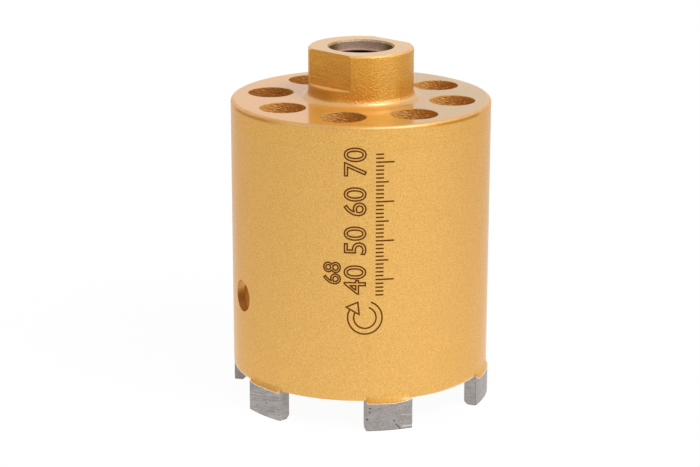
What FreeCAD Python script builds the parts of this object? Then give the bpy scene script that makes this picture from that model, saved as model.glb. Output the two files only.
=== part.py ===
import FreeCAD, Part
import math
import os
from FreeCAD import Vector

# A core cutter for dry drilling in masonry: a steel tube with sintered cutting tips brazed round its
# open rim, closed by a turned end cap whose threaded hub screws onto a drill arbor.
# Millimetres and degrees. The origin is on the axis, in the plane of the tips' cutting edges, and +Z
# runs up the tube to the hub. Angles round the axis start at -Y, the front, and turn towards +X.

# Cutting tips
CUT_DIAMETER = 68.0
TIP_COUNT = 6
TIP_WIDTH = 12.0
TIP_THICKNESS = 3.2
TIP_HEIGHT = 8.0
TIP_START_ANGLE = 12.6
TIP_INNER_CHAMFER = 0.9

# Tube, which runs inside the cut circle so that only the tips rub
SIDE_CLEARANCE = 0.5
TUBE_WALL = 2.0
TUBE_LENGTH = 64.9

# Brazed joint over each tip: the tube's end swells out to meet the tip, which stands proud of it
BRAZE_RISE = 1.05
BRAZE_DROP = 0.5
BRAZE_INSET = 0.6

# Holes in the tube's side, through which a stuck core is levered out
SIDE_HOLE_COUNT = 2
SIDE_HOLE_DIAMETER = 8.2
SIDE_HOLE_HEIGHT = 29.5
SIDE_HOLE_ANGLE = -65.0

# End cap: a flange that sits on the tube's end, and a spigot that centres it in the bore
FLANGE_THICKNESS = 6.0
FLANGE_RIM_ROUND = 0.9
SPIGOT_LENGTH = 3.0
SPIGOT_CLEARANCE = 0.05
SPIGOT_LEAD_IN = 0.6

# Dust holes through the end cap
DUST_HOLE_COUNT = 8
DUST_HOLE_DIAMETER = 11.8
DUST_HOLE_CIRCLE = 47.5
DUST_HOLE_START_ANGLE = -11.1

# Hub, with two flats for a spanner
HUB_DIAMETER = 27.1
HUB_HEIGHT = 13.2
HUB_ROOT_FILLET = 2.2
HUB_TOP_CHAMFER = 0.45
ACROSS_FLATS = 23.0
FLAT_HEIGHT = 9.2
FLAT_ANGLE = -43.2
FLAT_FLOOR_FILLET = 0.4

# Threaded bore, at its minor diameter, with a plain recess at the mouth
THREAD_DIAMETER = 16.0
THREAD_PITCH = 2.0
THREAD_LEAD_IN = 0.5
RECESS_DIAMETER = 16.4
RECESS_DEPTH = 2.5
MOUTH_CHAMFER = 0.45

# Shapes that follow from the dimensions above
BASIC_THREAD_CUT = 1.0825
FRONT = -90.0
CUTTER_OVERRUN = 5.0
SLANT_LEAST = 1e-6
CUT_RADIUS = CUT_DIAMETER / 2
TUBE_RADIUS = CUT_RADIUS - SIDE_CLEARANCE
BORE_RADIUS = TUBE_RADIUS - TUBE_WALL
JOINT_RADIUS = CUT_RADIUS - SIDE_CLEARANCE * BRAZE_DROP / (BRAZE_RISE + BRAZE_DROP)
TUBE_TOP = TIP_HEIGHT + TUBE_LENGTH
FLANGE_TOP = TUBE_TOP + FLANGE_THICKNESS
HUB_TOP = FLANGE_TOP + HUB_HEIGHT
THREAD_MINOR_RADIUS = (THREAD_DIAMETER - BASIC_THREAD_CUT * THREAD_PITCH) / 2


def unit(vector):
    """A copy of the vector with a length of one."""
    return Vector(vector).normalize()


def straight(start, end):
    """The edge between two points. A slanted one is a spline, so that no flat cuts a hyperbola from its turned face."""
    edge = Part.LineSegment(start, end).toShape()
    if min(abs(end.x - start.x), abs(end.z - start.z)) > SLANT_LEAST:
        return edge.toNurbs().Edges[0]
    return edge


def rounded_face(corners):
    """Closed face in the XZ plane. Each corner is (x, z, radius), and a radius of 0 stays sharp."""
    points = [Vector(x, 0, z) for x, z, radius in corners]
    edges = []
    first = None
    last = None
    for i, (x, z, radius) in enumerate(corners):
        corner = points[i]
        back = unit(points[i - 1] - corner)
        ahead = unit(points[(i + 1) % len(points)] - corner)
        start, end = corner, corner
        if radius > 0:
            half_angle = back.getAngle(ahead) / 2
            inward = unit(back + ahead)
            centre = corner + inward * (radius / math.sin(half_angle))
            start = corner + back * (radius / math.tan(half_angle))
            end = corner + ahead * (radius / math.tan(half_angle))
        if last is None:
            first = start
        else:
            edges.append(straight(last, start))
        if radius > 0:
            edges.append(Part.Arc(start, centre - inward * radius, end).toShape())
        last = end
    edges.append(straight(last, first))
    return Part.Face(Part.Wire(edges))


def revolved(corners):
    """The closed outline turned once round the axis, with its seam on -X, clear of what is cut on +X."""
    ring = rounded_face(corners).revolve(Vector(0, 0, 0), Vector(0, 0, 1), 360)
    ring.rotate(Vector(0, 0, 0), Vector(0, 0, 1), 180)
    return ring


def turned(shape, angle):
    """A copy of a shape built on +X, turned round the axis to an angle from the front."""
    copy = shape.copy()
    copy.rotate(Vector(0, 0, 0), Vector(0, 0, 1), FRONT + angle)
    return copy


def ring_angles(count, start):
    """Even steps round the axis."""
    return [start + step * 360 / count for step in range(count)]


def sector(ring, width):
    """The stretch of a ring on the +X side between two parallel planes, a width apart."""
    box = ring.BoundBox
    reach = box.XMax + CUTTER_OVERRUN
    slab = Part.makeBox(
        reach,
        width,
        box.ZLength + 2 * CUTTER_OVERRUN,
        Vector(0, -width / 2, box.ZMin - CUTTER_OVERRUN),
    )
    return ring.common(slab)


def braze_swell(angle):
    """The swelling of the tube's end over one tip. It reaches into the wall, so that the two fuse."""
    ring = revolved(
        [
            (TUBE_RADIUS - TUBE_WALL / 2, TIP_HEIGHT, 0),
            (JOINT_RADIUS, TIP_HEIGHT, 0),
            (TUBE_RADIUS, TIP_HEIGHT + BRAZE_RISE, 0),
            (TUBE_RADIUS - TUBE_WALL / 2, TIP_HEIGHT + BRAZE_RISE, 0),
        ]
    )
    return turned(sector(ring, TIP_WIDTH - 2 * BRAZE_INSET), angle)


def tip(angle):
    """One cutting tip: an arc-shaped block with parallel ends, its lower inside edge worn off."""
    inside = CUT_RADIUS - TIP_THICKNESS
    ring = revolved(
        [
            (inside, TIP_INNER_CHAMFER, 0),
            (inside + TIP_INNER_CHAMFER, 0, 0),
            (CUT_RADIUS, 0, 0),
            (CUT_RADIUS, TIP_HEIGHT - BRAZE_DROP, 0),
            (JOINT_RADIUS, TIP_HEIGHT, 0),
            (inside, TIP_HEIGHT, 0),
        ]
    )
    return turned(sector(ring, TIP_WIDTH), angle)


def side_hole(angle):
    """Cutter for one round hole through the tube's wall."""
    drill = Part.makeCylinder(
        SIDE_HOLE_DIAMETER / 2,
        TUBE_RADIUS + CUTTER_OVERRUN,
        Vector(0, 0, SIDE_HOLE_HEIGHT),
        Vector(1, 0, 0),
    )
    return turned(drill, angle)


def barrel():
    """The tube, with its swellings over the tips and its side holes."""
    tube = revolved(
        [
            (BORE_RADIUS, TIP_HEIGHT, 0),
            (TUBE_RADIUS, TIP_HEIGHT, 0),
            (TUBE_RADIUS, TUBE_TOP, 0),
            (BORE_RADIUS, TUBE_TOP, 0),
        ]
    )
    for angle in ring_angles(TIP_COUNT, TIP_START_ANGLE):
        tube = tube.fuse(braze_swell(angle))
    tube = tube.removeSplitter()
    for angle in ring_angles(SIDE_HOLE_COUNT, SIDE_HOLE_ANGLE):
        tube = tube.cut(side_hole(angle))
    return tube


def turned_blank():
    """Spigot, flange and hub in one turned piece, before it is drilled and milled."""
    spigot_radius = BORE_RADIUS - SPIGOT_CLEARANCE
    spigot_end = TUBE_TOP - SPIGOT_LENGTH
    hub_radius = HUB_DIAMETER / 2
    return revolved(
        [
            (0, spigot_end, 0),
            (spigot_radius - SPIGOT_LEAD_IN, spigot_end, 0),
            (spigot_radius, spigot_end + SPIGOT_LEAD_IN, 0),
            (spigot_radius, TUBE_TOP, 0),
            (TUBE_RADIUS, TUBE_TOP, 0),
            (TUBE_RADIUS, FLANGE_TOP, FLANGE_RIM_ROUND),
            (hub_radius, FLANGE_TOP, HUB_ROOT_FILLET),
            (hub_radius, HUB_TOP - HUB_TOP_CHAMFER, 0),
            (hub_radius - HUB_TOP_CHAMFER, HUB_TOP, 0),
            (0, HUB_TOP, 0),
        ]
    )


def arbor_bore():
    """Cutter for the threaded bore, its lead-in, the plain recess over it and the chamfered mouth."""
    recess_radius = RECESS_DIAMETER / 2
    recess_floor = HUB_TOP - RECESS_DEPTH
    lower_end = TUBE_TOP - SPIGOT_LENGTH
    mouth_radius = recess_radius + MOUTH_CHAMFER
    flare_radius = THREAD_MINOR_RADIUS + THREAD_LEAD_IN
    return revolved(
        [
            (0, lower_end - CUTTER_OVERRUN, 0),
            (flare_radius, lower_end - CUTTER_OVERRUN, 0),
            (flare_radius, lower_end, 0),
            (THREAD_MINOR_RADIUS, lower_end + THREAD_LEAD_IN, 0),
            (THREAD_MINOR_RADIUS, recess_floor, 0),
            (recess_radius, recess_floor, 0),
            (recess_radius, HUB_TOP - MOUTH_CHAMFER, 0),
            (mouth_radius, HUB_TOP, 0),
            (mouth_radius, HUB_TOP + CUTTER_OVERRUN, 0),
            (0, HUB_TOP + CUTTER_OVERRUN, 0),
        ]
    )


def dust_hole(angle):
    """Cutter for one dust hole, straight down through the flange and the spigot."""
    lower_end = TUBE_TOP - SPIGOT_LENGTH - CUTTER_OVERRUN
    drill = Part.makeCylinder(
        DUST_HOLE_DIAMETER / 2,
        HUB_TOP - lower_end,
        Vector(DUST_HOLE_CIRCLE / 2, 0, lower_end),
    )
    return turned(drill, angle)


def spanner_flat(angle):
    """Cutter for one flat, milled down to a floor above the flange, with a rounded inner corner."""
    floor = HUB_TOP - FLAT_HEIGHT
    face = rounded_face(
        [
            (ACROSS_FLATS / 2, floor, FLAT_FLOOR_FILLET),
            (HUB_DIAMETER, floor, 0),
            (HUB_DIAMETER, HUB_TOP + CUTTER_OVERRUN, 0),
            (ACROSS_FLATS / 2, HUB_TOP + CUTTER_OVERRUN, 0),
        ]
    )
    face.translate(Vector(0, -HUB_DIAMETER / 2, 0))
    return turned(face.extrude(Vector(0, HUB_DIAMETER, 0)), angle)


def end_cap():
    """The turned cap with its arbor bore, dust holes and spanner flats."""
    cap = turned_blank().cut(arbor_bore())
    for angle in ring_angles(DUST_HOLE_COUNT, DUST_HOLE_START_ANGLE):
        cap = cap.cut(dust_hole(angle))
    for angle in ring_angles(2, FLAT_ANGLE):
        cap = cap.cut(spanner_flat(angle))
    return cap


def build():
    """Every piece by its name."""
    pieces = {"barrel": barrel(), "end_cap": end_cap()}
    for number, angle in enumerate(ring_angles(TIP_COUNT, TIP_START_ANGLE), start=1):
        pieces[f"tip_{number}"] = tip(angle)
    return pieces


os.makedirs("parts", exist_ok=True)
for name, shape in build().items():
    shape.exportStep(f"parts/{name}.step")
    print(name, shape.ShapeType, len(shape.Solids), round(shape.Volume, 1), shape.isValid())
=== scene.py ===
import math
import random

import bmesh
import bpy
from mathutils import Matrix, Vector, noise

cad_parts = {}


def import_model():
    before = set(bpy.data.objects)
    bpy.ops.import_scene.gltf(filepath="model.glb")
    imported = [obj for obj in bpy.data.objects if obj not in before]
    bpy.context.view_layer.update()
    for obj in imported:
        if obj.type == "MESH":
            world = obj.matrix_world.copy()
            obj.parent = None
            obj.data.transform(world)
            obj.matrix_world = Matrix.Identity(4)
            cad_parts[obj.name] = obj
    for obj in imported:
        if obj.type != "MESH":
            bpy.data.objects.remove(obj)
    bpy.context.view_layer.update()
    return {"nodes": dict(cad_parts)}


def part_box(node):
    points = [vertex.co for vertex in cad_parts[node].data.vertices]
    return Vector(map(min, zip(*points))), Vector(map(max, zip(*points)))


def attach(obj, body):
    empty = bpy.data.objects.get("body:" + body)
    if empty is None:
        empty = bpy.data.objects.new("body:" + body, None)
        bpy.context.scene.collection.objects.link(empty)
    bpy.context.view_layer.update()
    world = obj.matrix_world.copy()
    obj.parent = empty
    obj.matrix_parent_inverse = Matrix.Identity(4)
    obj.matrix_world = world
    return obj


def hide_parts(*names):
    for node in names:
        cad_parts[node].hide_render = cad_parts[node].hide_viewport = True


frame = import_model()

# Metres, with sizes given in millimetres where a name ends in _MM. Angles round the axis are in degrees,
# start at -Y, the front, and turn towards +X.
MM = 0.001
ROOT = "root"
TIPS = [name for name in frame["nodes"] if name.startswith("tip_")]

# Camera, at the photograph's viewing angle
CAMERA_PLACE = (-2.743 * MM, -546.996 * MM, 203.396 * MM)
CAMERA_PITCH = 16.432
CAMERA_ROLL = 0.104
CAMERA_LENS = 111.897
CAMERA_SENSOR = 36.0

# Studio. The floor is brightest near the part, in a painted pool of light that reflections see, and
# reflections see it dimmer farther out.
FLOOR_SIZE = 30.0
FLOOR_WHITE = 0.96
FLOOR_WHITE_FAR = 1.0
FLOOR_NEAR = 0.12
FLOOR_FAR = 0.5
POOL_CENTRE = (60 * MM, -90 * MM, 0)
POOL_RADIUS = 0.36
POOL_WHITE = 1.05
POOL_EDGE = 0.82
WORLD_DIFFUSE = 0.6
WORLD_FRONT = 0.5
WORLD_TOP = 0.75
WORLD_SIDES = 0.42
LIGHT_AIM = (0, 0, 45 * MM)
WHITE = (1, 1, 1, 1)

# Sizes of the part, in millimetres, as its solids have them
CUT_RADIUS_MM = 34.0
TUBE_RADIUS_MM = 33.5
TIP_TOP_MM = 8.0
FLANGE_TOP_MM = 78.9
HUB_TOP_MM = 92.1
HUB_RADIUS_MM = 13.55
FLAT_FLOOR_MM = 82.9
FLAT_REACH_MM = 11.5
FLAT_ANGLE = -43.2
HOLE_COUNT = 8
HOLE_CIRCLE_MM = 23.75
HOLE_RADIUS_MM = 5.9
HOLE_START = -11.1
RECESS_RADIUS_MM = 8.2
RECESS_FLOOR_MM = 89.6
SPIGOT_END_MM = 69.9
MILLING_STEP_MM = 0.34
MILLING_DEPTH_MM = 0.04
MILLING_SHADE = 0.85
SMEAR_DEPTH_MM = 0.5
SMEAR_SLANT = 0.5
SMEAR_SCALE = 2.7
MOUTH_PAINT_MM = 0.2
MOUTH_WOBBLE_MM = 0.5
HUB_GRAIN_MM = 0.22
THREAD_PITCH_MM = 2.0
THREAD_MINOR_MM = 6.9175
THREAD_MAJOR_MM = 8.0
SHARP_EDGE = 30

# Wear on the tips. A pit is its distance round from the tip's middle, its height and its radius. A
# scratch is the same for both ends, then half its width and its tone, light over 0 and dark under it.
TIP_VOXEL_MM = 0.14
TIP_HALF_MM = 6.05
TIP_INNER_RADIUS_MM = 30.8
TIP_ROUND_MM = {"tip_2": 1.5}
TIP_LINES = {"tip_1": 0.3, "tip_2": 0.4, "tip_6": 0.9}
TIP_LINE_SLANT = 0.19
# Painted shade: how much darker a whole tip is, given under 0.
TIP_PAINTED_SHADE = {"tip_1": -0.2, "tip_5": -0.35}
TIP_EDGE_MM = 0.3
GRIND_DEPTH_MM = 0.012
GRAIN_DEPTH_MM = 0.008
SCRATCH_DEPTH_MM = 0.05
PIT_DEPTH = 0.5
TIP_FACE_MM = 33.6
TIP_FACE_FADE_MM = 0.2
SMALL_PIT_COUNT = 9
TIP_PITS = {
    "tip_1": ((-5.1, 6.1, 0.28), (-5.2, 5.05, 0.25), (-5.8, 3.2, 0.3), (1.1, 2.45, 0.27), (5.8, 0.25, 0.3)),
    "tip_6": ((1.35, 3.9, 0.3),),
}
TIP_SCRATCHES = {
    "tip_1": (
        (1.6, 1.55, 3.0, -0.1, 0.13, -1.0),
        (3.2, 3.85, 5.9, 3.7, 0.13, 1.0),
        (3.4, 0.75, 5.9, 0.65, 0.36, 1.0),
    ),
    "tip_2": ((-5.95, 0.2, -5.95, 6.8, 0.22, -0.4), (-5.6, 0.4, -5.6, 6.6, 0.2, 0.5)),
}

# Paint over the brazed joints: where it starts, how thick it is, how its ends slope, and the height
# of its lower edge at the tip's left end, middle and right end, seen from outside. A worn patch, a chip
# that on tip_1 is also a painted highlight, is its distance round, its height, half its width and half
# its height. Deep paint, darkest at the left in painted shade: its share at the right end, the power it
# falls by on the way, and how far it reaches over the edge.
SWELL_TOP_MM = 9.05
SWELL_FOOT_MM = 7.5
SWELL_INSET_MM = 0.6
SKIN_TOP_MM = 9.35
SKIN_THICKNESS_MM = 0.025
SKIN_STEPS = 64
SKIN_ROWS = 16
SKIN_WAVE_MM = 0.16
SKIN_CORNERS_MM = {"tip_1": (0.3, 0.25), "tip_2": (1.8, 0.3)}
SKIN_EDGES = {"tip_1": (7.3, 7.05, 8.0), "tip_2": (7.05, 6.75, 6.6), "tip_6": (7.75, 7.45, 7.3)}
SKIN_EDGE_USUAL = (7.25, 7.15, 7.3)
SKIN_WORN_AND_HIGHLIGHT = {"tip_1": (4.2, 8.05, 2.8, 0.9), "tip_6": (5.4, 7.75, 0.8, 0.6)}
SKIN_DEEP_AND_SHADE = {"tip_1": (0.3, 1, 2.2), "tip_2": (0.0, 4, 1.8), "tip_6": (0.6, 1, 1.3)}
SKIN_DEEP_AND_SHADE_USUAL = (0.3, 1, 1.5)

# Marking on the tube: places are distances round from the front and heights
MARK_WIDTH_MM = 0.4
MARK_HEIGHT_MM = 0.012
MARK_FOOT_MM = -0.01
MARK_GAP_MM = 0.02
MARK_STEP_MM = 0.5
SCALE_DEPTHS = (40, 50, 60, 70)
SCALE_NUMERAL_SIZE_MM = 7.6
SCALE_NUMERAL_X_MM = -1.2
SCALE_TICK_X_MM = 3.6
SCALE_TICKS = {10: 4.6, 5: 3.2, 1: 2.0}
SIZE_NUMERAL = "68"
SIZE_NUMERAL_SIZE_MM = 6.0
SIZE_NUMERAL_PLACE_MM = (-7.0, 41.5)
ARROW_CENTRE_MM = (1.0, 30.1)
ARROW_RADIUS_MM = 4.3
ARROW_WIDTH_MM = 1.5
ARROW_HEAD_HALF_MM = 1.9
ARROW_HEAD_LENGTH_MM = 2.6
ARROW_START = 150
ARROW_END = 430


class Graph:
    """A node tree, and short calls that add to it. What feeds a node is a socket or a plain value."""

    def __init__(self, owner):
        owner.use_nodes = True
        self.tree = owner.node_tree
        self.tree.nodes.clear()

    def feed(self, socket, value):
        if isinstance(value, bpy.types.NodeSocket):
            self.tree.links.new(value, socket)
        else:
            socket.default_value = value

    def add(self, kind, inputs=None, **settings):
        node = self.tree.nodes.new(kind)
        for key, value in settings.items():
            setattr(node, key, value)
        for key, value in (inputs or {}).items():
            self.feed(node.inputs[key], value)
        return node

    def math(self, operation, *values):
        return self.add("ShaderNodeMath", dict(enumerate(values)), operation=operation).outputs[0]

    def times(self, first, *others):
        """The product of the values."""
        for value in others:
            first = self.math("MULTIPLY", first, value)
        return first

    def most(self, first, *others):
        """The greatest of the values."""
        for value in others:
            first = self.math("MAXIMUM", first, value)
        return first

    def step(self, value, low, high, start=0.0, end=1.0):
        """A smooth change from start to end as the value goes from low to high."""
        inputs = {"Value": value, "From Min": low, "From Max": high, "To Min": start, "To Max": end}
        node = self.add("ShaderNodeMapRange", inputs, interpolation_type="SMOOTHSTEP")
        return node.outputs["Result"]

    def band(self, value, rise, fall):
        """1 between two smooth edges, each given by the values where it starts and ends, and 0 outside."""
        return self.times(self.step(value, *rise), self.step(value, *fall, 1.0, 0.0))

    def blend(self, share, first, second):
        inputs = {"Factor": share, "A": first, "B": second}
        return self.add("ShaderNodeMix", inputs, data_type="RGBA").outputs["Result"]

    def noise(self, vector, scale, detail=2.0):
        inputs = {"Vector": vector, "Scale": scale, "Detail": detail}
        return self.add("ShaderNodeTexNoise", inputs).outputs["Fac"]

    def bump(self, height, distance, normal=None):
        inputs = {"Height": height, "Distance": distance, "Strength": 1.0}
        if normal is not None:
            inputs["Normal"] = normal
        return self.add("ShaderNodeBump", inputs).outputs["Normal"]

    def combine(self, x, y, z):
        return self.add("ShaderNodeCombineXYZ", {"X": x, "Y": y, "Z": z}).outputs[0]

    def mix_shaders(self, share, first, second):
        return self.add("ShaderNodeMixShader", {0: share, 1: first, 2: second}).outputs[0]

    def surface(self, settings):
        return self.add("ShaderNodeBsdfPrincipled", settings).outputs[0]

    def finish(self, shader, kind="ShaderNodeOutputMaterial"):
        self.add(kind, {"Surface": shader})


class Place:
    """Where a shaded point lies, in millimetres: plain, and round the axis."""

    def __init__(self, graph):
        spot = graph.add("ShaderNodeTexCoord").outputs["Object"]
        scaled = graph.add("ShaderNodeVectorMath", {0: spot}, operation="SCALE")
        scaled.inputs["Scale"].default_value = 1 / MM
        self.vector = scaled.outputs[0]
        split = graph.add("ShaderNodeSeparateXYZ", {0: self.vector})
        self.x, self.y, self.z = split.outputs
        self.angle = graph.math("ARCTAN2", self.x, graph.math("MULTIPLY", self.y, -1.0))
        across = graph.combine(self.x, self.y, 0.0)
        self.radius = graph.add("ShaderNodeVectorMath", {0: across}, operation="LENGTH").outputs["Value"]


def new_graph(name):
    material = bpy.data.materials.new(name)
    return material, Graph(material)


GOLD_DEEP = (0.76, 0.415, 0.085, 1)
GOLD_LIGHT = (0.97, 0.6, 0.165, 1)
GOLD_EDGE = (0.8, 0.46, 0.12, 1)
GOLD_DEEPER_TONE = (0.84, 0.72, 0.4, 1)
# Hub tones: a deeper tone, a painted reflection of the plate low down, a painted highlight at the front
# right, and painted shade at the foot and under the rim.
HUB_DEEP_TONE = (0.89, 0.83, 0.5, 1)
HUB_PLATE_REFLECTION = (0.86, 0.7, 0.36, 1)
HUB_PAINTED_HIGHLIGHT = (0.97, 0.95, 0.78, 1)
HUB_FOOT_SHADE = (0.66, 0.5, 0.24, 1)
RIM_SHADE = (0.74, 0.6, 0.4, 1)
# The joint paint's deeper tone, also painted shade towards each tip's left end.
JOINT_DEEP_AND_SHADE = (0.82, 0.62, 0.32, 1)
GOLD_PLATE = (0.66, 0.29, 0.03, 1)
# Painted reflection: the plate's colour towards the right.
GOLD_PLATE_RIGHT_REFLECTION = (0.44, 0.25, 0.05, 1)
GOLD_LEDGE = (0.9, 0.52, 0.15, 1)
GOLD_TOP = (0.7, 0.58, 0.5, 1)
# Drilled walls: smeared paint, with painted light on one side and painted shade in some holes.
DRILLED_DARK = (0.55, 0.25, 0.05, 1)
DRILLED_LIGHT = (1.0, 0.67, 0.24, 1)
MOUTH_OLIVE = (0.62, 0.47, 0.24, 1)
MOUTH_PALE = (0.66, 0.54, 0.38, 1)
MOUTH_DARK = (0.36, 0.25, 0.1, 1)
# Pale primer where paint is chipped, and a painted highlight along the tube's lower edge.
PRIMER_AND_HIGHLIGHT = (0.9, 0.76, 0.56, 1)
HOLE_GOLD = (0.82, 0.45, 0.1, 1)
STEEL_DARK = (0.36, 0.24, 0.17, 1)
STEEL_LIGHT = (0.74, 0.56, 0.46, 1)
# Painted shade at the bore's sides and in its thread, and painted light on the recess's floor.
STEEL_SIDE_SHADE = (0.2, 0.11, 0.03, 1)
STEEL_SHELF_LIT = (0.6, 0.47, 0.4, 1)
STEEL_THREAD_SHADE = (0.07, 0.02, 0.012, 1)
THREAD_SHADE_SHARE = 0.95
SINTER_DARK = (0.31, 0.275, 0.262, 1)
SINTER_LIGHT = (0.5, 0.465, 0.45, 1)
# Dark in pits, and painted shade on some whole tips.
SINTER_PIT_AND_SHADE = (0.09, 0.07, 0.06, 1)
SINTER_SCRATCH = (0.66, 0.64, 0.62, 1)
INK_DARK = (0.07, 0.018, 0.002, 1)
INK_LIGHT = (0.16, 0.05, 0.006, 1)
PAINT_ROUGHNESS = 0.55
HUB_ROUGHNESS = 0.62
ROUNDED_ROUGHNESS = 0.62
WORN_ROUGHNESS = 0.72
PLATE_METALLIC = 0.35
COAT_ROUGHNESS = 0.12
COAT_ROUGHNESS_ROUNDED = 0.38
COAT_IOR = 1.4
COAT_IOR_ROUNDED = 2.0
TUBE_COAT = 0.7
FLAKE_SCALE = 4.2
FLAKE_DEPTH_MM = 0.012
EDGE_ROUND_MM = 0.25


def gold_settings(graph, place, coat=1.0, deep_share=None, deep_tone_colour=GOLD_DEEPER_TONE, round_edges=False):
    """Metallic paint: fine flakes under a clear coat, with the colour multiplied by a deeper tone where
    the given share asks for it. Gives the shader's settings, for the finishes to add to."""
    flake = graph.noise(place.vector, FLAKE_SCALE, 1.0)
    drift = graph.noise(place.vector, 0.22, 3.0)
    tone = graph.step(graph.math("ADD", flake, graph.times(drift, 0.07)), 0.3, 0.77)
    colour = graph.blend(tone, GOLD_DEEP, GOLD_LIGHT)
    if deep_share is not None:
        deep = graph.add("ShaderNodeMix", {"Factor": 1.0, "A": colour, "B": deep_tone_colour}, data_type="RGBA")
        deep.blend_type = "MULTIPLY"
        colour = graph.blend(deep_share, colour, deep.outputs["Result"])
    edge = graph.add("ShaderNodeNewGeometry").outputs["Normal"]
    if round_edges:
        edge = graph.add("ShaderNodeBevel", {"Radius": EDGE_ROUND_MM * MM}, samples=4).outputs[0]
    normal = graph.bump(flake, FLAKE_DEPTH_MM * MM, edge)
    return {
        "Base Color": colour,
        "Metallic": 1.0,
        "Roughness": PAINT_ROUGHNESS,
        "Specular Tint": GOLD_EDGE,
        "Coat Weight": coat,
        "Coat Roughness": COAT_ROUGHNESS,
        "Normal": normal,
        "Coat Normal": normal,
    }


def gold_paint():
    """The finish of the tube: gold, a deeper orange inside, and a painted highlight along its lower
    edge away from the front.
    """
    material, graph = new_graph("gold_paint_finish")
    place = Place(graph)
    settings = gold_settings(graph, place, coat=TUBE_COAT)
    inside = graph.step(place.radius, TUBE_RADIUS_MM - 0.5, TUBE_RADIUS_MM - 0.1, 0.6, 0.0)
    colour = graph.blend(inside, settings["Base Color"], HOLE_GOLD)
    # Painted highlight: a pale band along the lower edge, away from the front.
    painted_edge_highlight = graph.step(place.z, TIP_TOP_MM + 0.1, TIP_TOP_MM + 0.6, 0.9, 0.0)
    aside = graph.step(graph.math("ABSOLUTE", place.angle), 0.6, 0.9)
    settings["Base Color"] = graph.blend(graph.times(painted_edge_highlight, aside), colour, PRIMER_AND_HIGHLIGHT)
    graph.finish(graph.surface(settings))
    return material


def from_hole_centre(graph, place):
    """The way to a point from the nearest dust hole's centre, in millimetres along X and Y."""
    pitch = 2 * math.pi / HOLE_COUNT
    start = math.radians(HOLE_START)
    turns = graph.math("ROUND", graph.math("DIVIDE", graph.math("SUBTRACT", place.angle, start), pitch))
    heading = graph.math("ADD", graph.times(turns, pitch), start)
    centre_x = graph.times(graph.math("SINE", heading), HOLE_CIRCLE_MM)
    centre_y = graph.times(graph.math("COSINE", heading), -HOLE_CIRCLE_MM)
    return graph.math("SUBTRACT", place.x, centre_x), graph.math("SUBTRACT", place.y, centre_y)


def drilled_wall(graph, place):
    """Where the dust holes' walls are, their colour, and the height of their smeared paint. The colour has
    painted light on each wall's left side and painted shade in the holes on the left.
    """
    x, y = from_hole_centre(graph, place)
    flat = graph.combine(x, y, 0.0)
    gap = graph.add("ShaderNodeVectorMath", {0: flat}, operation="LENGTH").outputs["Value"]
    wall = graph.times(
        graph.step(gap, HOLE_RADIUS_MM + 0.03, HOLE_RADIUS_MM + 0.1, 1.0, 0.0),
        graph.step(place.z, FLANGE_TOP_MM - 0.15, FLANGE_TOP_MM, 1.0, 0.0),
    )
    round_wall = graph.times(graph.math("ARCTAN2", y, x), HOLE_RADIUS_MM * SMEAR_SLANT)
    along = graph.math("ADD", round_wall, place.z)
    across = graph.math("SUBTRACT", place.z, round_wall)
    smear = graph.noise(graph.combine(graph.times(along, 0.4), across, 0.0), SMEAR_SCALE, 5.0)
    # Painted light on the wall's left side, taken away as painted shade in the holes on the left.
    lit = graph.step(x, -HOLE_RADIUS_MM, HOLE_RADIUS_MM * 0.4, 0.5, 0.0)
    shade = graph.times(graph.step(place.x, -12.0, -4.0, 0.8, 0.0), graph.step(place.y, -7.0, 0.0))
    lit = graph.times(lit, graph.math("SUBTRACT", 1.0, shade))
    lit = graph.math("ADD", lit, graph.times(smear, 1.7))
    colour = graph.blend(graph.step(lit, 0.8, 1.6), DRILLED_DARK, DRILLED_LIGHT)
    return wall, colour, smear


def bare_steel_shader(graph, place):
    """Turned steel in the bore: painted shade browns its left and right ends and darkens the thread, and
    painted light makes the recess's floor paler.
    """
    rings = graph.noise(graph.combine(place.angle, 0.0, graph.times(place.z, 9.0)), 1.0, 2.0)
    grain = graph.noise(place.vector, 4.5, 2.0)
    colour = graph.blend(graph.step(grain, 0.1, 0.9), STEEL_DARK, STEEL_LIGHT)
    ends = graph.step(graph.math("ABSOLUTE", place.x), 5.0, 7.6, 0.0, 0.9)
    colour = graph.blend(ends, colour, STEEL_SIDE_SHADE)
    shelf = graph.math("COMPARE", place.z, RECESS_FLOOR_MM, 0.08)
    colour = graph.blend(shelf, colour, STEEL_SHELF_LIT)
    deep = graph.step(place.z, RECESS_FLOOR_MM - 0.5, RECESS_FLOOR_MM - 0.05, THREAD_SHADE_SHARE, 0.0)
    colour = graph.blend(deep, colour, STEEL_THREAD_SHADE)
    inputs = {
        "Base Color": colour,
        "Specular IOR Level": 0.1,
        "Metallic": graph.step(deep, 0.0, THREAD_SHADE_SHARE, 0.9, 0.0),
        "Roughness": 0.6,
        "Normal": graph.bump(graph.math("ADD", rings, grain), 0.02 * MM),
    }
    return graph.surface(inputs)


def on_spanner_flat(graph, place):
    """Where the hub's two flats are."""
    turn = math.radians(FLAT_ANGLE)
    along_x = graph.times(place.x, math.sin(turn))
    along_y = graph.times(place.y, -math.cos(turn))
    reach = graph.math("ABSOLUTE", graph.math("ADD", along_x, along_y))
    on_flat = graph.math("COMPARE", reach, FLAT_REACH_MM, 0.03)
    return graph.times(on_flat, graph.step(place.z, FLAT_FLOOR_MM, FLAT_FLOOR_MM + 0.4))


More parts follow.
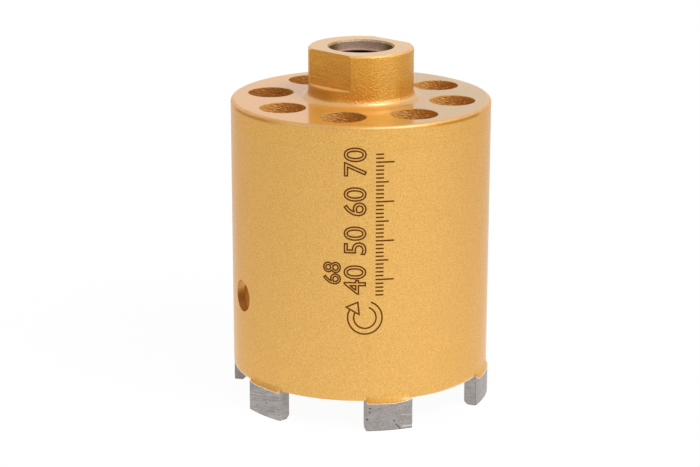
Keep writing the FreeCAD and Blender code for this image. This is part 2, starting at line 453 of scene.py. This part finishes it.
class CapZones:
    """Where each kind of surface of the end cap is, as shares from 0 to 1."""

    def __init__(self, graph, place):
        facing = graph.add("ShaderNodeNewGeometry").outputs["Normal"]
        upward = graph.add("ShaderNodeSeparateXYZ", {0: facing}).outputs[2]
        self.flat = on_spanner_flat(graph, place)
        self.rounded = graph.band(upward, (0.1, 0.3), (0.9, 0.99))
        self.level = graph.step(upward, 0.9, 0.99)
        self.ledge = graph.times(self.level, graph.math("COMPARE", place.z, FLAT_FLOOR_MM, 0.1))
        self.plate = graph.times(
            graph.step(upward, 0.5, 0.9),
            graph.step(place.z, FLANGE_TOP_MM + 0.5, FLANGE_TOP_MM + 1.3, 1.0, 0.0),
            graph.step(place.radius, TUBE_RADIUS_MM - 1.1, TUBE_RADIUS_MM - 0.7, 1.0, 0.0),
        )
        self.hub = graph.times(
            graph.step(place.radius, HUB_RADIUS_MM + 0.1, HUB_RADIUS_MM + 0.8, 1.0, 0.0),
            graph.step(upward, 0.35, 0.85, 1.0, 0.0),
        )
        self.mouth = graph.step(place.radius, RECESS_RADIUS_MM + 0.35, RECESS_RADIUS_MM + 0.5, 1.0, 0.0)
        self.rim = graph.times(self.rounded, graph.step(place.radius, 30.0, 31.0, 0.0, 0.6))
        self.rim_line = self.line_under_rim(graph, place)
        self.hub_foot = self.shade_at_hub_foot(graph, place)

    def line_under_rim(self, graph, place):
        """Painted shade: a dark line under the rim's round, left and right of the front."""
        aside = graph.math("ABSOLUTE", graph.math("ADD", place.angle, 0.08))
        return graph.times(
            graph.band(aside, (0.45, 0.75), (1.1, 1.25)),
            graph.step(place.radius, TUBE_RADIUS_MM - 0.7, TUBE_RADIUS_MM - 0.4),
            graph.band(
                place.z,
                (FLANGE_TOP_MM - 1.5, FLANGE_TOP_MM - 1.1),
                (FLANGE_TOP_MM - 0.65, FLANGE_TOP_MM - 0.3),
            ),
        )

    def shade_at_hub_foot(self, graph, place):
        """Painted shade: a deeper tone under the left flat, down to the hub's fillet."""
        under = graph.step(place.z, FLAT_FLOOR_MM - 0.6, FLAT_FLOOR_MM - 0.1, 0.7, 0.0)
        left = graph.band(place.angle, (-1.6, -1.2), (-0.75, -0.35))
        return graph.times(self.hub, graph.most(self.rounded, under), left)


def cap_tones(graph, place, zones):
    """What the paint's colour is multiplied by: a deeper tone on the hub and the rim's round, a painted
    reflection of the plate low on the hub, a painted highlight at its front right, and painted shade at
    its foot and under the rim.
    """
    low = graph.step(place.z, FLANGE_TOP_MM + 1.6, FLANGE_TOP_MM + 8.6, 0.8, 0.0)
    # Low on the hub, a painted reflection of the gold plate.
    tone = graph.blend(low, HUB_DEEP_TONE, HUB_PLATE_REFLECTION)
    tone = graph.blend(graph.band(place.angle, (0.1, 0.4), (0.6, 0.9)), tone, HUB_PAINTED_HIGHLIGHT)
    on_rim = graph.math("MINIMUM", graph.times(zones.rim, 2.0), 1.0)
    tone = graph.blend(on_rim, tone, GOLD_DEEPER_TONE)
    tone = graph.blend(zones.hub_foot, tone, HUB_FOOT_SHADE)
    return graph.blend(zones.rim_line, tone, RIM_SHADE)


def milled_rows(graph, place, flat):
    """The height of the cutter's rows on the flats."""
    rows = graph.combine(graph.times(place.x, 0.08), 0.0, place.z)
    return graph.times(graph.noise(rows, 1 / MILLING_STEP_MM, 1.0), flat)


def cap_colour(graph, place, zones, milling, paint):
    """The cap's colour over its paint: plate, ledges, hub top, milled rows and the bore's mouth."""
    # Painted reflection: the plate's colour changes towards the right.
    plate_gold = graph.blend(graph.step(place.x, -2.0, 18.0), GOLD_PLATE, GOLD_PLATE_RIGHT_REFLECTION)
    colour = graph.blend(graph.times(zones.plate, 0.85), paint, plate_gold)
    colour = graph.blend(zones.ledge, colour, GOLD_LEDGE)
    top = graph.times(zones.level, graph.step(place.z, HUB_TOP_MM - 0.2, HUB_TOP_MM - 0.1, 0.0, 0.25))
    colour = graph.blend(top, colour, GOLD_TOP)
    shade = graph.step(place.z, FLAT_FLOOR_MM - 3.0, HUB_TOP_MM, MILLING_SHADE, 0.15)
    groove = graph.times(graph.step(milling, 0.35, 0.6, 1.0, 0.0), zones.flat, shade)
    colour = graph.blend(groove, colour, DRILLED_DARK)
    chips = graph.step(graph.noise(place.vector, 2.5, 3.0), 0.35, 0.6)
    olive = graph.blend(graph.step(place.y, 4.0, 8.0), MOUTH_OLIVE, MOUTH_PALE)
    return graph.blend(zones.mouth, colour, graph.blend(chips, MOUTH_DARK, olive))


def cap_gloss(graph, zones, wall, coat):
    """The settings for how the cap's paint shines: dull where it is worn or drilled, waxy on rounds."""
    matte = graph.most(zones.plate, zones.ledge)
    dim = graph.times(graph.most(zones.hub_foot, zones.rim_line), 1.4)
    waxy = graph.math("SUBTRACT", zones.rounded, dim)
    rough = graph.most(wall, graph.times(zones.flat, 0.35), zones.mouth)
    dull = graph.step(zones.hub, 0.0, 1.0, PAINT_ROUGHNESS, HUB_ROUGHNESS)
    dull = graph.step(zones.rounded, 0.0, 1.0, dull, ROUNDED_ROUGHNESS)
    bared = graph.most(rough, zones.ledge)
    return {
        "Metallic": graph.step(matte, 0.0, 1.0, 1.0, PLATE_METALLIC),
        "Roughness": graph.step(rough, 0.0, 1.0, dull, WORN_ROUGHNESS),
        "Coat Weight": graph.times(coat, graph.step(bared, 0.0, 1.0, 1.0, 0.15)),
        "Coat Roughness": graph.step(zones.rounded, 0.0, 1.0, COAT_ROUGHNESS, COAT_ROUGHNESS_ROUNDED),
        "Coat IOR": graph.step(waxy, 0.0, 1.0, COAT_IOR, COAT_IOR_ROUNDED),
    }


def in_bare_bore(graph, place):
    """Where the bore has no paint: under a wavy line a little below the hub's top."""
    wobble = graph.times(graph.noise(place.vector, 1.3, 3.0), MOUTH_WOBBLE_MM)
    line = graph.math("SUBTRACT", HUB_TOP_MM - MOUTH_PAINT_MM, wobble)
    below = graph.math("LESS_THAN", place.z, line)
    return graph.times(below, graph.math("LESS_THAN", place.radius, RECESS_RADIUS_MM + 0.3))


def cap_paint():
    """The finish of the end cap: paint, with drilled hole walls, milled flats and a bare bore."""
    material, graph = new_graph("cap_paint_finish")
    place = Place(graph)
    zones = CapZones(graph, place)
    wall, wall_colour, smear = drilled_wall(graph, place)
    milling = milled_rows(graph, place, zones.flat)
    coat = graph.step(place.z, FLANGE_TOP_MM - 1.0, FLANGE_TOP_MM, TUBE_COAT, 1.0)
    coat = graph.math("SUBTRACT", coat, graph.times(zones.hub, 0.4))
    # Where the tones apply: the hub, the rim's round, and the painted shade under the rim.
    deep_share = graph.most(zones.hub, zones.rim, zones.rim_line)
    tones = cap_tones(graph, place, zones)
    settings = gold_settings(graph, place, coat, deep_share=deep_share, deep_tone_colour=tones, round_edges=True)
    colour = cap_colour(graph, place, zones, milling, settings["Base Color"])
    settings["Base Color"] = graph.blend(wall, colour, wall_colour)
    settings.update(cap_gloss(graph, zones, wall, coat))
    smeared = graph.times(smear, wall, SMEAR_DEPTH_MM)
    relief = graph.math("ADD", smeared, graph.times(milling, MILLING_DEPTH_MM))
    grain = graph.times(graph.noise(place.vector, 2.3, 2.0), HUB_GRAIN_MM, zones.hub)
    relief = graph.math("ADD", relief, grain)
    settings["Normal"] = graph.bump(relief, 1.0 * MM, settings["Normal"])
    settings["Coat Normal"] = settings["Normal"]
    steel = bare_steel_shader(graph, place)
    graph.finish(graph.mix_shaders(in_bare_bore(graph, place), graph.surface(settings), steel))
    return material


def tip_metal():
    """The finish of the cutting tips: ground sintered metal, darker in pits and lighter on scratches, and
    darker all over some tips in painted shade.
    """
    material, graph = new_graph("tip_metal_finish")
    place = Place(graph)
    around = graph.times(place.angle, CUT_RADIUS_MM)
    across = graph.math("SUBTRACT", place.z, graph.times(around, TIP_LINE_SLANT))
    strokes = graph.noise(graph.combine(graph.times(around, 0.05), 0.0, across), 2.8, 3.0)
    grain = graph.noise(place.vector, 3.6, 3.0)
    drift = graph.noise(place.vector, 0.5, 2.0)
    lines = graph.add("ShaderNodeAttribute", attribute_name="lines").outputs["Fac"]
    lined = graph.times(graph.math("SUBTRACT", strokes, 0.5), lines, 1.6)
    streaks = graph.math("ADD", lined, grain)
    tone = graph.math("ADD", streaks, graph.times(drift, 0.4))
    colour = graph.blend(graph.step(tone, 0.43, 0.97), SINTER_DARK, SINTER_LIGHT)
    wear = graph.add("ShaderNodeAttribute", attribute_name="wear").outputs["Fac"]
    colour = graph.blend(graph.step(wear, -1.0, 0.0, 1.0, 0.0), colour, SINTER_PIT_AND_SHADE)
    colour = graph.blend(graph.step(wear, 0.0, 1.0), colour, SINTER_SCRATCH)
    inputs = {
        "Base Color": colour,
        "Metallic": 0.85,
        "Roughness": 0.5,
        "Normal": graph.bump(streaks, GRIND_DEPTH_MM * MM),
    }
    graph.finish(graph.surface(inputs))
    return material


def joint_paint():
    """The finish of the paint over the joints: gold, deeper near its foot and darkest in painted shade
    towards each tip's left end, with a pale, chipped lower edge and a worn patch that is also a painted
    highlight on tip_1.
    """
    material, graph = new_graph("joint_paint_finish")
    place = Place(graph)
    worn = graph.add("ShaderNodeAttribute", attribute_name="worn").outputs["Fac"]
    flecks = graph.noise(place.vector, 3.2, 3.0)
    pale = graph.step(graph.math("ADD", worn, graph.times(flecks, 0.8)), 0.85, 1.2, 0.0, 0.85)
    deep_share = graph.add("ShaderNodeAttribute", attribute_name="depth").outputs["Fac"]
    paint = graph.surface(gold_settings(graph, place, TUBE_COAT, deep_share, JOINT_DEEP_AND_SHADE))
    primer = graph.surface({"Base Color": PRIMER_AND_HIGHLIGHT, "Roughness": 0.5})
    graph.finish(graph.mix_shaders(pale, paint, primer))
    return material


def mark_ink():
    """The finish of the marking: burnt dark brown."""
    material, graph = new_graph("mark_finish")
    place = Place(graph)
    grain = graph.noise(place.vector, 3.0, 2.0)
    colour = graph.blend(grain, INK_DARK, INK_LIGHT)
    inputs = {"Base Color": colour, "Roughness": 0.8, "Specular IOR Level": 0.05}
    graph.finish(graph.surface(inputs))
    return material


def add_object(name, mesh, material=None):
    made = bpy.data.objects.new(name, mesh)
    bpy.context.collection.objects.link(made)
    if material:
        mesh.materials.clear()
        mesh.materials.append(material)
    return made


def add_piece(name, mesh, material):
    made = add_object(name, mesh, material)
    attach(made, ROOT)
    return made


def point(angle, radius, height):
    """The point at an angle, a radius and a height, all but the angle in millimetres."""
    turn = math.radians(angle)
    return Vector((radius * math.sin(turn), -radius * math.cos(turn), height)) * MM


def thread_cutter():
    """The helical groove of the thread, as a closed solid that runs out above and below it."""
    steps = 72
    inside = THREAD_MINOR_MM - 0.6
    root_half = THREAD_PITCH_MM / 16
    mouth_half = THREAD_PITCH_MM * 3 / 8
    profile = [
        (inside, -mouth_half),
        (THREAD_MINOR_MM, -mouth_half),
        (THREAD_MAJOR_MM, -root_half),
        (THREAD_MAJOR_MM, root_half),
        (THREAD_MINOR_MM, mouth_half),
        (inside, mouth_half),
    ]
    start = SPIGOT_END_MM - THREAD_PITCH_MM
    turns = (RECESS_FLOOR_MM - SPIGOT_END_MM) / THREAD_PITCH_MM + 1.7
    mesh = bmesh.new()
    rings = []
    for step in range(int(turns * steps) + 1):
        lift = start + THREAD_PITCH_MM * step / steps
        angle = 360 * step / steps
        rings.append([mesh.verts.new(point(angle, radius, lift + rise)) for radius, rise in profile])
    for low, high in zip(rings, rings[1:]):
        for i in range(len(profile)):
            j = (i + 1) % len(profile)
            mesh.faces.new((low[i], low[j], high[j], high[i]))
    mesh.faces.new(list(reversed(rings[0])))
    mesh.faces.new(rings[-1])
    bmesh.ops.recalc_face_normals(mesh, faces=mesh.faces)
    data = bpy.data.meshes.new("thread_cutter")
    mesh.to_mesh(data)
    cutter = add_object("thread_cutter", data)
    cutter.hide_render = True
    cutter.hide_viewport = True
    return cutter


def add_weld(made):
    """Joins the corners that a CAD mesh holds more than once."""
    weld = made.modifiers.new("weld", "WELD")
    weld.merge_threshold = 0.001 * MM


def cut_thread(cap):
    """Cuts the groove into the cap's bore, then parts its faces at sharp edges for clean shading."""
    add_weld(cap)
    groove = cap.modifiers.new("thread", "BOOLEAN")
    groove.operation = "DIFFERENCE"
    groove.solver = "EXACT"
    groove.object = thread_cutter()
    parted = cap.modifiers.new("parted", "EDGE_SPLIT")
    parted.split_angle = math.radians(SHARP_EDGE)
    cap.modifiers.new("even", "WEIGHTED_NORMAL")


def evaluated_mesh(made):
    """The object's mesh with its modifiers applied."""
    graph = bpy.context.evaluated_depsgraph_get()
    graph.update()
    return bpy.data.meshes.new_from_object(made.evaluated_get(graph))


def grind(around, height, seed):
    """Depth of the grinding marks, in millimetres: long strokes round the tip's outer face."""
    fine = noise.noise(Vector((around * 0.12, height * 4.5, seed)))
    coarse = noise.noise(Vector((around * 0.06, height * 1.7, seed + 40)))
    return GRIND_DEPTH_MM * (fine + 0.8 * coarse)


def pits(name):
    """Places and radii of the small holes where a grain has broken out of a tip."""
    draw = random.Random(TIPS.index(name))
    made = [(Vector((around, height)), size) for around, height, size in TIP_PITS.get(name, ())]
    for _ in range(SMALL_PIT_COUNT):
        spot = Vector((draw.uniform(-TIP_HALF_MM, TIP_HALF_MM), draw.uniform(0, TIP_TOP_MM)))
        made.append((spot, draw.uniform(0.12, 0.2)))
    return made


def scratch_share(flat, scratch):
    """How much of a scratch a place on a tip's outer face gets."""
    start, end = Vector(scratch[:2]), Vector(scratch[2:4])
    along = end - start
    t = max(0.0, min(1.0, (flat - start).dot(along) / along.length_squared))
    gap = (flat - start - along * t).length / scratch[4]
    return max(0.0, 1 - gap * gap)


def heading_of(name):
    """The angle of a tip round the axis, in radians."""
    low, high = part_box(name)
    middle = (low + high) / 2
    return math.atan2(middle.x, -middle.y)


def round_inner_corner(spot, size):
    """Draws a tip's point in to the round of its lower inner edge."""
    radius = spot.xy.length
    across = TIP_INNER_RADIUS_MM + size - radius
    below = size - spot.z
    gap = math.hypot(across, below)
    if across <= 0 or below <= 0 or gap <= size:
        return spot.copy()
    pull = size / gap
    wanted = TIP_INNER_RADIUS_MM + size - across * pull
    return Vector((spot.x * wanted / radius, spot.y * wanted / radius, size - below * pull))


def voxel_tip(name):
    """A tip's solid as a fine, even mesh."""
    rough = add_object(name + "_rough", frame["nodes"][name].data.copy())
    add_weld(rough)
    remesh = rough.modifiers.new("remesh", "REMESH")
    remesh.mode = "VOXEL"
    remesh.voxel_size = TIP_VOXEL_MM * MM
    mesh = evaluated_mesh(rough)
    bpy.data.objects.remove(rough)
    return mesh


def face_wear(name, flat, holes):
    """The wear's depth in millimetres, and its tone, at a place on a tip's outer face."""
    depth = grind(flat.x, flat.y, TIPS.index(name)) + GRIND_DEPTH_MM
    # The tone is darker along the face's lower edge.
    tone = -0.5 * max(0.0, 1 - flat.y / TIP_EDGE_MM)
    for centre, size in holes:
        share = max(0.0, 1 - ((flat - centre).length / size) ** 2)
        depth += size * PIT_DEPTH * share
        tone -= share * min(1.0, size / 0.25)
    for scratch in TIP_SCRATCHES.get(name, ()):
        share = scratch_share(flat, scratch)
        depth += SCRATCH_DEPTH_MM * share
        tone += share * scratch[5]
    return depth, tone


def worn_tip(name, material):
    """A tip with rounded edges, grinding marks, pits and scratches, over the tip's own solid."""
    mesh = voxel_tip(name)
    heading = heading_of(name)
    holes = pits(name)
    places = []
    wear = []
    for vertex in mesh.vertices:
        spot = round_inner_corner(vertex.co / MM, TIP_ROUND_MM.get(name, 0.0))
        radius = spot.xy.length
        turn = math.atan2(spot.x, -spot.y) - heading
        flat = Vector((math.atan2(math.sin(turn), math.cos(turn)) * radius, spot.z))
        outer = max(0.0, min(1.0, (radius - TIP_FACE_MM) / TIP_FACE_FADE_MM))
        depth = GRAIN_DEPTH_MM * abs(noise.noise(spot * 5.0))
        # Painted shade: some whole tips are darker, through the same tone as the pits.
        tone = TIP_PAINTED_SHADE.get(name, 0.0)
        if outer > 0:
            face_depth, face_tone = face_wear(name, flat, holes)
            depth += outer * face_depth
            tone += face_tone
        places.extend((spot - vertex.normal * depth) * MM)
        wear.append(max(-1.0, min(1.0, tone)))
    mesh.vertices.foreach_set("co", places)
    lines = [TIP_LINES.get(name, 0.7)] * len(wear)
    mesh.attributes.new("wear", "FLOAT", "POINT").data.foreach_set("value", wear)
    mesh.attributes.new("lines", "FLOAT", "POINT").data.foreach_set("value", lines)
    for face in mesh.polygons:
        face.use_smooth = True
    mesh.name = name + "_worn"
    made = add_piece(name + "_worn", mesh, material)
    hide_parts(name)


def skin_foot(name, around):
    """The height of the paint's lower edge at a distance from the tip's middle, in millimetres."""
    left, middle, right = SKIN_EDGES.get(name, SKIN_EDGE_USUAL)
    side = around / TIP_HALF_MM
    end = right if side > 0 else left
    wave = SKIN_WAVE_MM * noise.noise(Vector((around * 0.9, TIPS.index(name) * 7.3, 0.5)))
    foot = middle + (end - middle) * abs(side) ** 3 + wave
    corner = SKIN_CORNERS_MM.get(name, (0.25, 0.25))[side > 0]
    lift = max(0.0, 1 - (TIP_HALF_MM - abs(around)) / corner) ** 2
    return foot + (TIP_TOP_MM - foot) * lift


def skin_radius(around, height):
    """The radius of the paint's surface: out with the swelling, then down the tip, and in at its ends."""
    rise = max(0.0, min(1.0, (SWELL_TOP_MM - height) / (SWELL_TOP_MM - SWELL_FOOT_MM)))
    above = max(0.0, min(1.0, (height - TIP_TOP_MM) / 0.25))
    inward = max(0.0, min(1.0, (TIP_HALF_MM - abs(around)) / SWELL_INSET_MM))
    rise *= 1 - above * (1 - inward)
    fade = min(1.0, (SKIN_TOP_MM - height) / 0.3, (TIP_HALF_MM - abs(around)) / 0.75)
    return TUBE_RADIUS_MM + (CUT_RADIUS_MM - TUBE_RADIUS_MM) * rise + SKIN_THICKNESS_MM * fade


def joint_skin(name, material):
    """The paint that covers the joint between the tube and a tip."""
    heading = math.degrees(heading_of(name))
    mesh = bmesh.new()
    columns = []
    worn = []
    depth = []
    patch = SKIN_WORN_AND_HIGHLIGHT.get(name)
    least, fade, reach = SKIN_DEEP_AND_SHADE.get(name, SKIN_DEEP_AND_SHADE_USUAL)
    for i in range(SKIN_STEPS + 1):
        around = (2 * i / SKIN_STEPS - 1) * (TIP_HALF_MM - 0.06)
        foot = skin_foot(name, around)
        angle = heading + math.degrees(around / CUT_RADIUS_MM)
        column = []
        for row in range(SKIN_ROWS + 2):
            share = min(1.0, row / SKIN_ROWS)
            height = SKIN_TOP_MM + (foot - SKIN_TOP_MM) * share
            radius = skin_radius(around, height)
            if row > SKIN_ROWS:
                radius -= 2.5 * SKIN_THICKNESS_MM
            column.append(mesh.verts.new(point(angle, radius, height)))
            pale = max(0.0, 1 - (height - foot) / 0.5)
            # A worn patch of pale paint, which on tip_1 is also a painted highlight.
            if patch:
                gap = Vector(((around - patch[0]) / patch[2], (height - patch[1]) / patch[3])).length
                pale = max(pale, 0.68 - 0.4 * gap)
            worn.append(pale)
            # Deeper paint along the foot, with painted shade that makes it darkest at the tip's left end.
            band = max(0.0, 1 - (height - foot) / reach)
            depth.append(band * (least + (1 - least) * (0.5 - 0.5 * around / TIP_HALF_MM) ** fade))
        columns.append(column)
    for low, high in zip(columns, columns[1:]):
        for row in range(SKIN_ROWS + 1):
            mesh.faces.new((low[row], low[row + 1], high[row + 1], high[row])).smooth = True
    data = bpy.data.meshes.new("joint_paint")
    mesh.to_mesh(data)
    data.attributes.new("worn", "FLOAT", "POINT").data.foreach_set("value", worn)
    data.attributes.new("depth", "FLOAT", "POINT").data.foreach_set("value", depth)
    add_piece("joint_paint_" + name, data, material)


def stroke(mesh, points, closed):
    """A thin raised line on the tube along points given as distance round and height, in millimetres."""
    spots = []
    for spot in points + points[:1] if closed else points:
        if spots and (spot - spots[-1]).length < MARK_GAP_MM:
            continue
        parts = math.ceil((spot - spots[-1]).length / MARK_STEP_MM) if spots else 1
        last = spots[-1] if spots else spot
        spots.extend(last.lerp(spot, (i + 1) / parts) for i in range(parts))
    if closed and (spots[0] - spots[-1]).length < MARK_GAP_MM:
        spots.pop()
    count = len(spots)
    rows = []
    for i, spot in enumerate(spots):
        back = spots[i - 1] if closed or i else spot * 2 - spots[1]
        ahead = spots[(i + 1) % count] if closed or i < count - 1 else spot * 2 - spots[i - 1]
        first = (spot - back).normalized()
        second = (ahead - spot).normalized()
        along = (first + second).normalized()
        side = Vector((-along.y, along.x))
        reach = MARK_WIDTH_MM / 2 / max(0.6, side.dot(Vector((-second.y, second.x))))
        row = []
        lifts = (MARK_FOOT_MM, MARK_HEIGHT_MM, MARK_HEIGHT_MM, MARK_FOOT_MM)
        for offset, lift in zip((reach, reach, -reach, -reach), lifts):
            place = spot + side * offset
            angle = math.degrees(place.x / TUBE_RADIUS_MM)
            row.append(mesh.verts.new(point(angle, TUBE_RADIUS_MM + lift, place.y)))
        rows.append(row)
    following = rows[1:] + rows[:1] if closed else rows[1:]
    for low, high in zip(rows, following):
        for i in range(4):
            j = (i + 1) % 4
            mesh.faces.new((low[i], low[j], high[j], high[i]))
    if not closed:
        mesh.faces.new(rows[0][::-1])
        mesh.faces.new(rows[-1])


def arc(centre, radius, start, end, steps):
    """Points along an arc, with its angles in degrees."""
    spots = []
    for i in range(steps + 1):
        turn = math.radians(start + (end - start) * i / steps)
        spots.append(centre + Vector((math.cos(turn), math.sin(turn))) * radius)
    return spots


def numeral_outlines(text, size, place):
    """Closed outlines of a number in the built-in typeface, turned to read upwards."""
    curve = bpy.data.curves.new("numeral", "FONT")
    curve.body = text
    curve.size = size
    curve.align_x = "CENTER"
    curve.align_y = "CENTER"
    curve.fill_mode = "NONE"
    curve.resolution_u = 4
    holder = add_object("numeral", curve)
    mesh = evaluated_mesh(holder)
    bpy.data.objects.remove(holder)
    links = {}
    for edge in mesh.edges:
        a, b = edge.vertices
        links.setdefault(a, []).append(b)
        links.setdefault(b, []).append(a)
    loops = []
    unseen = set(links)
    while unseen:
        current = min(unseen)
        loop = []
        while current is not None:
            unseen.discard(current)
            loop.append(mesh.vertices[current].co)
            current = next((n for n in links[current] if n in unseen), None)
        loops.append([place + Vector((-corner.y, corner.x)) for corner in loop])
    return loops


def depth_scale(mesh):
    """Numbers and ticks that give the height over the cutting edge."""
    for depth in SCALE_DEPTHS:
        middle = Vector((SCALE_NUMERAL_X_MM, depth))
        for loop in numeral_outlines(str(depth), SCALE_NUMERAL_SIZE_MM, middle):
            stroke(mesh, loop, True)
    for depth in range(SCALE_DEPTHS[0] - 4, SCALE_DEPTHS[-1] + 3):
        length = next(length for step, length in SCALE_TICKS.items() if depth % step == 0)
        start = Vector((SCALE_TICK_X_MM, depth))
        stroke(mesh, [start, start + Vector((length, 0))], False)


def turning_arrow(mesh):
    """An open circle with a head, for the direction that the tool turns."""
    centre = Vector(ARROW_CENTRE_MM)
    stroke(mesh, arc(centre, ARROW_RADIUS_MM, ARROW_START, ARROW_END, 56), False)
    stroke(mesh, arc(centre, ARROW_RADIUS_MM - ARROW_WIDTH_MM, ARROW_START, ARROW_END, 48), False)
    turn = math.radians(ARROW_START)
    outward = Vector((math.cos(turn), math.sin(turn)))
    end = centre + outward * (ARROW_RADIUS_MM - ARROW_WIDTH_MM / 2)
    ahead = Vector((outward.y, -outward.x))
    half = outward * ARROW_HEAD_HALF_MM
    stroke(mesh, [end + half, end + ahead * ARROW_HEAD_LENGTH_MM, end - half], True)


def marking():
    """A depth scale, the cutting diameter and an arrow, in thin lines wrapped on the tube."""
    mesh = bmesh.new()
    depth_scale(mesh)
    for loop in numeral_outlines(SIZE_NUMERAL, SIZE_NUMERAL_SIZE_MM, Vector(SIZE_NUMERAL_PLACE_MM)):
        stroke(mesh, loop, True)
    turning_arrow(mesh)
    data = bpy.data.meshes.new("marking")
    mesh.to_mesh(data)
    add_piece("marking", data, mark_ink())


def floor_material():
    """White to the camera and in reflections, pale in the light that it throws back, with soft shadows."""
    material, graph = new_graph("studio_floor")
    path = graph.add("ShaderNodeLightPath").outputs
    seen = graph.most(path["Is Camera Ray"], path["Is Glossy Ray"], path["Is Transmission Ray"])
    spot = graph.add("ShaderNodeTexCoord").outputs["Object"]
    away = graph.add("ShaderNodeVectorMath", {0: spot}, operation="LENGTH").outputs["Value"]
    share = graph.times(seen, graph.step(away, FLOOR_NEAR, FLOOR_FAR, FLOOR_WHITE, FLOOR_WHITE_FAR))
    gap = graph.add("ShaderNodeVectorMath", {0: spot, 1: POOL_CENTRE}, operation="DISTANCE")
    # A painted pool of light on the floor, seen only in reflections.
    pool = graph.step(gap.outputs["Value"], 0.0, POOL_RADIUS, POOL_WHITE, POOL_EDGE)
    strength = graph.step(path["Is Glossy Ray"], 0.0, 1.0, 1.0, pool)
    matte = graph.add("ShaderNodeBsdfDiffuse", {"Color": (0.88, 0.88, 0.88, 1)}).outputs[0]
    white = graph.add("ShaderNodeEmission", {"Color": WHITE, "Strength": strength}).outputs[0]
    graph.finish(graph.mix_shaders(share, matte, white))
    return material


def floor():
    half = FLOOR_SIZE / 2
    mesh = bpy.data.meshes.new("floor")
    corners = [(-half, -half, 0), (half, -half, 0), (half, half, 0), (-half, half, 0)]
    mesh.from_pydata(corners, [], [(0, 1, 2, 3)])
    add_object("floor", mesh, floor_material())


def world():
    """White to the camera and behind the part, and dimmer at the sides and on the camera's side."""
    made = bpy.data.worlds.new("studio")
    bpy.context.scene.world = made
    graph = Graph(made)
    path = graph.add("ShaderNodeLightPath").outputs
    way = graph.add("ShaderNodeTexCoord").outputs["Generated"]
    x, y, z = graph.add("ShaderNodeSeparateXYZ", {0: way}).outputs
    sides = graph.times(graph.step(graph.math("ABSOLUTE", x), 0.6, 0.85), graph.step(y, -0.5, -0.2))
    mirrored = graph.times(
        graph.step(y, -0.25, 0.35, WORLD_FRONT, 1.0),
        graph.step(z, 0.35, 0.8, 1.0, WORLD_TOP),
        graph.step(sides, 0.0, 1.0, 1.0, WORLD_SIDES),
    )
    light = graph.step(path["Is Glossy Ray"], 0.0, 1.0, WORLD_DIFFUSE, mirrored)
    light = graph.step(path["Is Camera Ray"], 0.0, 1.0, light, 1.0)
    sky = graph.add("ShaderNodeBackground", {"Color": WHITE, "Strength": light}).outputs[0]
    graph.finish(sky, "ShaderNodeOutputWorld")


def softbox(name, azimuth, elevation, distance, width, height, power):
    """A soft rectangular lamp that faces the part from an angle round it and a height over the floor."""
    light = bpy.data.lights.new(name, "AREA")
    light.shape = "RECTANGLE"
    light.size = width
    light.size_y = height
    light.energy = power
    made = bpy.data.objects.new(name, light)
    bpy.context.collection.objects.link(made)
    turn = math.radians(azimuth)
    rise = math.radians(elevation)
    away = Vector((math.sin(turn) * math.cos(rise), -math.cos(turn) * math.cos(rise), math.sin(rise)))
    made.location = Vector(LIGHT_AIM) + away * distance
    made.rotation_mode = "QUATERNION"
    made.rotation_quaternion = (-away).to_track_quat("-Z", "Y")


def camera():
    data = bpy.data.cameras.new("camera")
    data.lens = CAMERA_LENS
    data.sensor_width = CAMERA_SENSOR
    made = bpy.data.objects.new("camera", data)
    bpy.context.collection.objects.link(made)
    tilt = Matrix.Rotation(math.radians(90 - CAMERA_PITCH), 4, "X")
    roll = Matrix.Rotation(math.radians(CAMERA_ROLL), 4, "Z")
    made.matrix_world = Matrix.Translation(CAMERA_PLACE) @ tilt @ roll
    bpy.context.scene.camera = made


def dress(name, material):
    """Gives a CAD node its finish."""
    mesh = frame["nodes"][name].data
    mesh.materials.clear()
    mesh.materials.append(material)


dress("barrel", gold_paint())
dress("end_cap", cap_paint())
cut_thread(frame["nodes"]["end_cap"])
metal = tip_metal()
over_joint = joint_paint()
for tip_name in TIPS:
    joint_skin(tip_name, over_joint)
    worn_tip(tip_name, metal)
marking()
floor()
world()
softbox("key_light", azimuth=46, elevation=48, distance=1.1, width=0.7, height=0.4, power=5.0)
softbox("key_core", azimuth=42, elevation=48, distance=1.05, width=0.36, height=0.2, power=3.0)
softbox("fill_light", azimuth=-60, elevation=35, distance=1.2, width=0.5, height=0.5, power=1.8)
softbox("low_light", azimuth=62, elevation=22, distance=1.1, width=0.3, height=0.3, power=0.8)
softbox("side_right", azimuth=112, elevation=18, distance=1.2, width=0.4, height=0.4, power=0.8)
softbox("side_left", azimuth=-112, elevation=18, distance=1.2, width=0.4, height=0.4, power=0.8)
camera()
bpy.context.scene.view_settings.view_transform = "Standard"
